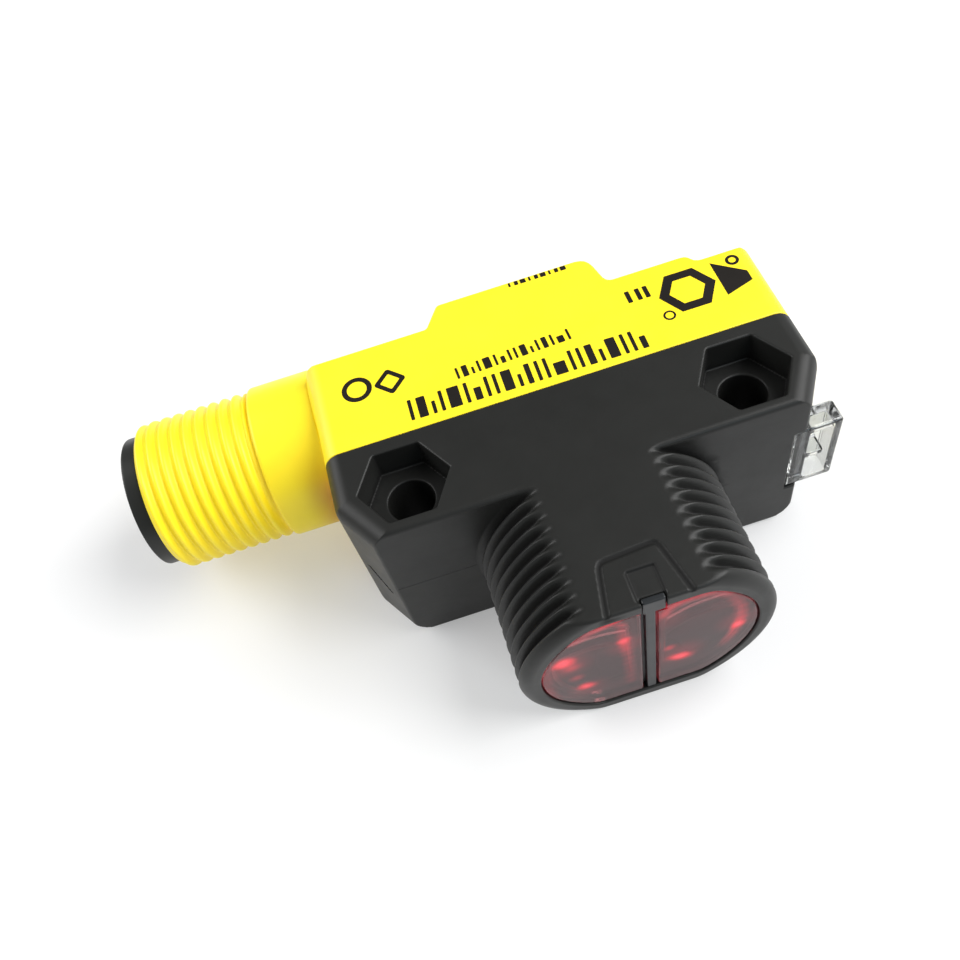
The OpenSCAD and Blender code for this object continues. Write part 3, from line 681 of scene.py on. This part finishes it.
def f_shell(x, y, z):
    r = np.sqrt((y - CY) ** 2 + (z - MZ) ** 2)
    ang = np.arctan2(y - CY, z - MZ)
    s = -x
    col = rmax(r - COLLAR_R, slab(x, X0, -HX), 0.28)
    spig = np.maximum(r - 5.3, slab(x, -HX - 0.4, -HX + 3.8))
    d = thread_depth(s, ang, -X0 + 0.55, 0.96, 0.36, 1.25)
    d = d * smooth(s, -X0 + 0.05, -X0 + 0.5) * (1 - smooth(s, -X2 - 0.35, -X2 + 0.05))
    neck = 0.42 * (1 - smooth(s, -X0 + 0.12, -X0 + 0.45))
    th = (r - 5.94 + d + neck) * 0.8
    th = rmax(th, slab(x, X2, X0 + 0.6), 0.5)
    f = np.minimum(rmin(col, th, 0.1), spig)
    f = np.maximum(f, -np.maximum(r - 4.92, x + HX + 1))
    f = np.maximum(f, -(r - 4.3))
    return f


shell = carve("connector_thread_shell", f_shell, CS_LO, CS_HI, 0.11, 0.45)


def root_shade(m):
    """Painted shadow: deeper orange where the collar runs into the corner of the housing."""
    nt = m.node_tree
    b = nt.nodes["Principled BSDF"]
    sep = nt.nodes.new("ShaderNodeSeparateXYZ")
    nt.links.new(coords(nt), sep.inputs[0])
    fac = None
    for axis, a, c in (("X", -20.4, -17.2), ("Z", 12.6, 8.6), ("Y", CY - 0.8, CY - 4.0)):
        r = nt.nodes.new("ShaderNodeMapRange")
        r.interpolation_type = "SMOOTHSTEP"
        r.inputs["From Min"].default_value = a * MM
        r.inputs["From Max"].default_value = c * MM
        nt.links.new(sep.outputs[axis], r.inputs["Value"])
        if fac is None:
            fac = r.outputs["Result"]
        else:
            k = nt.nodes.new("ShaderNodeMath")
            k.operation = "MULTIPLY"
            nt.links.new(fac, k.inputs[0])
            nt.links.new(r.outputs["Result"], k.inputs[1])
            fac = k.outputs["Value"]
    old = b.inputs["Base Color"].links[0].from_socket
    mix = nt.nodes.new("ShaderNodeMix")
    mix.data_type = "RGBA"
    # colour of the painted shadow next to the housing corner
    mix.inputs[7].default_value = (0.62, 0.24, 0.008, 1)
    nt.links.new(fac, mix.inputs[0])
    nt.links.new(old, mix.inputs[6])
    nt.links.new(mix.outputs[2], b.inputs["Base Color"])


M_COLLAR = plastic("yellow_collar", (1.0, 0.79, 0.020), 0.02, (0.34, 0.44), 2200, 0.000006, 0.4, 0.0, (0.985, 0.76, 0.017))
root_shade(M_COLLAR)
piece(shell, M_COLLAR, "housing_yellow", "connector_shell")


def f_insert(x, y, z):
    dy, dz = y - CY, z - MZ
    r = np.sqrt(dy * dy + dz * dz)
    lip = rmax(r - 5.2, slab(x, CI_LO[0], X2), 0.12)
    body = np.maximum(r - 4.9, slab(x, X2 - 0.2, BASE + 4))
    f = np.minimum(lip, body)
    sock = rmax(r - 4.2, x - BASE, 0.2)
    f = cut(f, sock, 0.25)
    key = rbox(x, dy, dz, (CI_LO[0] - 1, -0.6, 3.4), (BASE, 0.6, 4.55), 0.05)
    f = cut(f, key, 0.06)
    for a in (45, 135, 225, 315):
        q = np.sqrt((dy - 2.5 * math.cos(math.radians(a))) ** 2 + (dz - 2.5 * math.sin(math.radians(a))) ** 2)
        f = np.maximum(f, -np.maximum(q - 0.52, BASE - 1 - x))
        f = np.maximum(f, -np.maximum(q - 0.8, np.abs(x - BASE) - 0.25))
    return f


insert = carve("connector_insert_body", f_insert, CI_LO, CI_HI, 0.10, 0.35)
piece(insert, M_INSERT, "insert_black", "connector_insert")


def lathe(name, profile, n=40, origin=(0, 0, 0), axis="x"):
    """Closed turned piece: profile is (along, radius) pairs from end to end."""
    verts, faces = [], []
    ring_of = []
    for s, r in profile:
        if r <= 1e-6:
            ring_of.append([len(verts)])
            verts.append((s, 0.0, 0.0))
        else:
            ring_of.append(list(range(len(verts), len(verts) + n)))
            verts += [(s, r * math.cos(2 * math.pi * i / n), r * math.sin(2 * math.pi * i / n)) for i in range(n)]
    for a, b in zip(ring_of, ring_of[1:]):
        for i in range(n):
            j = (i + 1) % n
            if len(a) == 1:
                faces.append((a[0], b[i], b[j]))
            elif len(b) == 1:
                faces.append((a[j], a[i], b[0]))
            else:
                faces.append((a[j], a[i], b[i], b[j]))
    me = bpy.data.meshes.new(name)
    me.from_pydata([tuple((p + q) * MM for p, q in zip(v, origin)) for v in verts], [], faces)
    bm = bmesh.new()
    bm.from_mesh(me)
    bmesh.ops.recalc_face_normals(bm, faces=bm.faces)
    bm.to_mesh(me)
    bm.free()
    me.polygons.foreach_set("use_smooth", np.ones(len(me.polygons), bool))
    o = bpy.data.objects.new(name, me)
    bpy.context.scene.collection.objects.link(o)
    return o


for i in range(4):
    lo, hi = node_box(f"contact_pin_{i + 1}")
    yc, zc = (lo[1] + hi[1]) / 2, (lo[2] + hi[2]) / 2
    a, b = lo[0], hi[0]
    prof = [(a, 0)] + [(a + 0.5 * (1 - math.cos(t)) ** 1.0, 0.49 * math.sin(t)) for t in [math.pi / 2 * k / 7 for k in range(1, 8)]]
    prof += [(a + 4.6, 0.49), (a + 4.75, 0.44), (a + 4.95, 0.44), (a + 5.1, 0.49), (b - 0.3, 0.49), (b - 0.12, 0.47), (b, 0.38), (b, 0)]
    piece(lathe(f"contact_pin_{i + 1}_turned", prof, 32, (0, yc, zc)), M_PINS, "contact_gold", f"contact_pin_{i + 1}")

# ------------------------------------------------------------------ optics
LEDGE = TIP + 1.5


def f_lens_of(sgn):
    def f(x, y, z):
        u = sgn * x
        rho = np.sqrt(x * x + (z - MZ) ** 2)
        d2 = rmax(rmax(rho - 7.4, np.abs(z - MZ) - 6.37, 0.3), 0.55 - u, 0.25)
        plate = rmax(d2, slab(y, TIP + 0.1, LEDGE), 0.14)
        in2 = rmax(rmax(rho - 6.5, np.abs(z - MZ) - 4.7, 0.9), 1.25 - u, 0.7)
        ball = np.sqrt((x - sgn * 4.0) ** 2 + (y - (LEDGE - 6.4)) ** 2 + (z - MZ) ** 2) - 8.0
        bulge = rmax(rmax(in2, ball, 0.15), LEDGE - 0.4 - y, 0.0)
        f = rmin(plate, bulge, 0.12)
        return cut(f, rbox(x, y, z, (-0.50, TIP - 1, MZ + 5.85), (1.10, TIP + 0.6, T), 0.05))
    return f


for nm, sgn in (("emitter_lens", -1), ("receiver_lens", 1)):
    lo, hi = node_box(nm)
    o = carve(nm + "_moulded", f_lens_of(sgn), lo, hi, 0.09, 0.5)
    piece(o, M_LENS, "lens_red", nm)


def f_barrier(x, y, z):
    f = rbox(x, y, z, (-0.28, TIP + 0.1, MZ - 6.37), (0.38, LEDGE, MZ + 6.37), 0.08)
    f = np.minimum(f, rbox(x, y, z, (-0.5, TIP + 0.55, MZ - 6.3), (0.5, LEDGE, MZ + 6.3), 0.05))
    f = np.minimum(f, rbox(x, y, z, (-0.5, LEDGE - 0.3, MZ - 5.8), (0.5, LEDGE + 1.7, MZ + 5.8), 0.05))
    f = np.minimum(f, rbox(x, y, z, (-0.5, LEDGE + 1.4, MZ - 5.2), (0.5, -3.95, MZ + 5.2), 0.05))
    return np.minimum(f, rbox(x, y, z, (-0.45, TIP + 0.1, MZ + 5.97), (1.05, TIP + 0.52, T - 0.06), 0.12))


bl, bh = node_box("optical_barrier")
piece(carve("optical_barrier_bar", f_barrier, bl, bh, 0.08, 0.45), M_BARRIER, "barrier_grey", "optical_barrier")

# ------------------------------------------------------------------ indicator window
IL, IH = node_box("indicator_lens")


def f_ind(x, y, z):
    lo, hi = (IL[0], IL[1], IL[2]), (IH[0], IL[1] + 1.9, IH[2])
    f = rbox(x, y, z, lo, hi, 0.28)
    leg = rbox(x, y, z, (IL[0], IL[1] + 0.6, IL[2] + 0.3), (IL[0] + 1.0, IH[1], IH[2] - 0.3), 0.08)
    f = rmin(f, leg, 0.1)
    f = cut(f, rbox(x, y, z, (14, -0.65, MZ - 0.1), (16, 6, MZ + 0.4), 0.05), 0.05)
    # hollow that opens towards the front, with a cross web and a slit behind the outer wall
    hol = rbox(x, y, z, (15.6, IL[1] - 1, IL[2] + 0.62), (IH[0] - 0.62, IL[1] + 1.35, IH[2] - 0.62), 0.15)
    web = slab(z, MZ - 0.05, MZ + 0.45)
    hol = np.maximum(hol, -np.maximum(web, x - (IH[0] - 1.15)))
    f = cut(f, hol, 0.1)
    return f


piece(carve("indicator_window", f_ind, IL, IH, 0.07, 0.45), M_CLEAR, "window_clear", "indicator_lens")


# ------------------------------------------------------------------ adjuster
def f_adj(x, y, z):
    dx, dz = x - ADJ_X, z - MZ
    a = np.sqrt(dx * dx + dz * dz)
    f = rmax(a - 2.1, slab(y, RHUMP - 1.15, RHUMP - 0.1), 0.12)
    f = np.minimum(f, rmax(a - 1.2, slab(y, ADJ_LO[1], RHUMP - 1.0), 0.1))
    f = cut(f, rbox(dx, y, dz, (-0.35, RHUMP - 0.78, -1.65), (0.35, RHUMP + 1, 1.65), 0.04), 0.08)
    tri = np.maximum(dz - 1.95, np.maximum(-dz + 0.95 + 1.3 * np.abs(dx) - 0.0, 0 * dx - 5))
    tri = np.maximum(dz - 1.75, 0.866 * np.abs(dx) + 0.5 * -(dz - 1.75) - 0.62)
    return cut(f, np.maximum(tri, RHUMP - 0.42 - y), 0.05)


adj = carve("gain_adjuster_rotor", f_adj, ADJ_LO, ADJ_HI, 0.06, 0.5)
piece(adj, M_ADJ, "adjuster_white", "gain_adjuster", body="adjuster")

# ------------------------------------------------------------------ generic print on the broad side
def print_piece(name, polys, z0=YT - 0.02, z1=T - 0.002):
    """Thin ink layer: each outline is a list of (x, y) points, or (outer, inner) for a ring."""
    bm = bmesh.new()

    def prism(loop, hole=None):
        bot = [bm.verts.new((x * MM, y * MM, z0 * MM)) for x, y in loop]
        top = [bm.verts.new((x * MM, y * MM, z1 * MM)) for x, y in loop]
        n = len(loop)
        for i in range(n):
            j = (i + 1) % n
            bm.faces.new((bot[i], bot[j], top[j], top[i]))
        if hole is None:
            bm.faces.new(top)
            bm.faces.new(bot[::-1])
            return
        hb = [bm.verts.new((x * MM, y * MM, z0 * MM)) for x, y in hole]
        ht = [bm.verts.new((x * MM, y * MM, z1 * MM)) for x, y in hole]
        for i in range(n):
            j = (i + 1) % n
            bm.faces.new((top[i], top[j], ht[j], ht[i]))
            bm.faces.new((bot[j], bot[i], hb[i], hb[j]))
            bm.faces.new((ht[i], ht[j], hb[j], hb[i]))

    for p in polys:
        if isinstance(p, tuple) and len(p) == 2 and isinstance(p[0], list):
            prism(p[0], p[1])
        else:
            prism(p)
    bmesh.ops.recalc_face_normals(bm, faces=bm.faces)
    me = bpy.data.meshes.new(name)
    bm.to_mesh(me)
    bm.free()
    o = bpy.data.objects.new(name, me)
    bpy.context.scene.collection.objects.link(o)
    return o


def rrect(cx, cy, w, h, r, ang=0.0, n=5):
    """Rounded rectangle outline, turned by ang degrees."""
    r = min(r, w / 2 - 1e-3, h / 2 - 1e-3)
    pts = []
    for k, (sx, sy) in enumerate(((1, 1), (-1, 1), (-1, -1), (1, -1))):
        for i in range(n + 1):
            a = math.radians(90 * k + 90 * i / n)
            pts.append((sx * (w / 2 - r) + r * math.cos(a), sy * (h / 2 - r) + r * math.sin(a)))
    c, s = math.cos(math.radians(ang)), math.sin(math.radians(ang))
    return [(cx + c * x - s * y, cy + s * x + c * y) for x, y in pts]


def circle(cx, cy, r, n=36):
    return [(cx + r * math.cos(2 * math.pi * i / n), cy + r * math.sin(2 * math.pi * i / n)) for i in range(n)]


marks = []


def bars(x0, y0, x1, y1, h, seq, gap):
    """Row of plain bars of changing width, in place of a line of print."""
    run = sum(seq) + gap * (len(seq) - 1)
    k = (x1 - x0) / run
    ang = math.degrees(math.atan2(y1 - y0, x1 - x0))
    x = 0.0
    for i, wb in enumerate(seq):
        t = (x + wb / 2) / run
        hh = h if i % 4 != 2 else h * 0.62
        marks.append(rrect(x0 + (x1 - x0) * t, y0 + (y1 - y0) * t - (h - hh) / 2, wb * k, hh, 0.07, ang))
        x += wb + gap


bars(-10.35, FY + 1.72, 7.0, FY + 1.52, 1.85, [0.3, 0.75, 0.3, 0.3, 1.0, 0.3, 0.6, 0.3, 0.3, 0.85, 0.3, 0.45, 0.3, 0.3, 1.0, 0.3, 0.3, 0.6, 0.3, 0.85, 0.3, 0.3, 0.5], 0.42)
bars(-6.4, FY + 3.62, 2.2, FY + 3.98, 1.05, [0.2, 0.45, 0.2, 0.2, 0.6, 0.2, 0.35, 0.2, 0.2, 0.5, 0.2, 0.2, 0.4, 0.2, 0.55, 0.2], 0.3)
# ring and diamond at the connector end
marks.append((circle(-13.55, FY + 5.05, 1.12), circle(-13.55, FY + 5.05, 0.74)))
marks.append((rrect(-11.1, FY + 4.85, 1.75, 1.75, 0.25, 45), rrect(-11.1, FY + 4.85, 1.05, 1.05, 0.1, 45)))
# hexagon, wedge and small marks at the far end
hexo = [(11.35 + 2.15 * math.cos(math.radians(60 * i)), FY + 4.55 + 2.15 * math.sin(math.radians(60 * i))) for i in range(6)]
hexi = [(11.35 + 1.35 * math.cos(math.radians(60 * i)), FY + 4.55 + 1.35 * math.sin(math.radians(60 * i))) for i in range(6)]
marks.append((hexo, hexi))
marks.append([(13.75, FY + 2.9), (15.9, FY + 3.6), (15.9, FY + 4.55), (13.75, FY + 6.3)])
for dx in (0.0, 0.75, 1.35):
    marks.append(rrect(7.25 + dx, FY + 5.55, 0.34, 1.15, 0.07))
marks.append((circle(15.35, FY + 5.95, 0.5), circle(15.35, FY + 5.95, 0.27)))
marks.append((circle(9.3, FY + 2.75, 0.45), circle(9.3, FY + 2.75, 0.3)))
# fine dashes along the edge of the raised part
for i in range(9):
    marks.append(rrect(-0.45 + 0.53 * i, RHUMP - 0.42, 0.16 + 0.14 * (i % 3), 0.42, 0.05))
ink = print_piece("printed_marks", marks)
piece(ink, M_PRINT, "insert_black")

# ------------------------------------------------------------------ carried-over CAD nodes
CAD_MATS = {
    "potting_plug": M_POTTING, "optics_carrier": M_CARRIER, "optics_board": M_BOARD, "main_board": M_BOARD,
    "emitter_led": M_LEDR, "receiver_photodiode": M_CHIP, "receiver_shield": M_TIN, "board_link_pins": M_PINS,
    "sensor_asic": M_CHIP, "voltage_regulator": M_CHIP, "output_transistors": M_CHIP, "supply_capacitor": M_CAP,
    "chip_resistors": M_CHIP, "power_led": M_LEDG, "output_led": M_LEDY, "gain_potentiometer": M_POT, "adjuster_seal": M_RUBBER,
}
for n, m in CAD_MATS.items():
    dress(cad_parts[n], m)
for n, c in WIRES.items():
    dress(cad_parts[n], plastic("sheath_" + n[5:], c, 0.1, (0.35, 0.5), 1800, 0.00001))

# ------------------------------------------------------------------ floor, light, camera
floor_me = bpy.data.meshes.new("floor")
floor_me.from_pydata([(-3, -3, 0), (3, -3, 0), (3, 3, 0), (-3, 3, 0)], [], [(0, 1, 2, 3)])
floor = bpy.data.objects.new("floor", floor_me)
bpy.context.scene.collection.objects.link(floor)
floor.location.z = -0.00002
fm, fnt, fb = new_mat("floor_white")
fnt.links.new(ramp(fnt, noise(fnt, coords(fnt), 3, 2), [(0.3, (0.56, 0.56, 0.56)), (0.7, (0.58, 0.58, 0.58))]), fb.inputs["Base Color"])
fb.inputs["Roughness"].default_value = 0.9
fb.inputs["Emission Color"].default_value = (1, 1, 1, 1)
fb.inputs["Emission Strength"].default_value = 0.32
fb.inputs["Specular IOR Level"].default_value = 0.1
dress(floor, fm)
floor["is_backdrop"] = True

sc = bpy.context.scene
sc.view_settings.view_transform = "Standard"
sc.view_settings.look = "None"
w = bpy.data.worlds.new("studio")
sc.world = w
w.use_nodes = True
w.node_tree.nodes["Background"].inputs["Color"].default_value = (1, 1, 1, 1)
w.node_tree.nodes["Background"].inputs["Strength"].default_value = 0.30


def area(name, loc, aim, size, power, colour=(1, 1, 1)):
    l = bpy.data.lights.new(name, "AREA")
    l.shape = "RECTANGLE"
    l.size, l.size_y = size
    l.energy = power
    l.color = colour
    o = bpy.data.objects.new(name, l)
    sc.collection.objects.link(o)
    o.location = loc
    o.rotation_mode = "QUATERNION"
    o.rotation_quaternion = (Vector(aim) - Vector(loc)).to_track_quat("-Z", "Y")
    return o


area("key", (0.28, -0.03, 0.28), (0, 0, 0.007), (0.34, 0.34), 2.35)
area("side", (-0.28, 0.12, 0.20), (0, 0, 0.007), (0.24, 0.24), 0.85)
area("window", (0.13, -0.32, 0.22), (0, 0, 0.007), (0.12, 0.12), 0.2, (0.72, 0.88, 1.0))

cam = bpy.data.cameras.new("camera")
cam.sensor_width = 36
cam.lens = 934.868 / 960 * 36
cam.clip_start = 0.003
cam.clip_end = 10
co = bpy.data.objects.new("camera", cam)
sc.collection.objects.link(co)
right = Vector((0.9517145, -0.26178379, -0.1603395))
up = Vector((0.30666936, 0.78708788, 0.53520704))
fwd = Vector((0.01390725, 0.55853552, -0.82936401))
pos = Vector((-8.0308, -36.1206, 65.9341)) * MM
co.matrix_world = Matrix(((right.x, up.x, -fwd.x, pos.x), (right.y, up.y, -fwd.y, pos.y), (right.z, up.z, -fwd.z, pos.z), (0, 0, 0, 1)))
sc.camera = co

lo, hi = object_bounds()
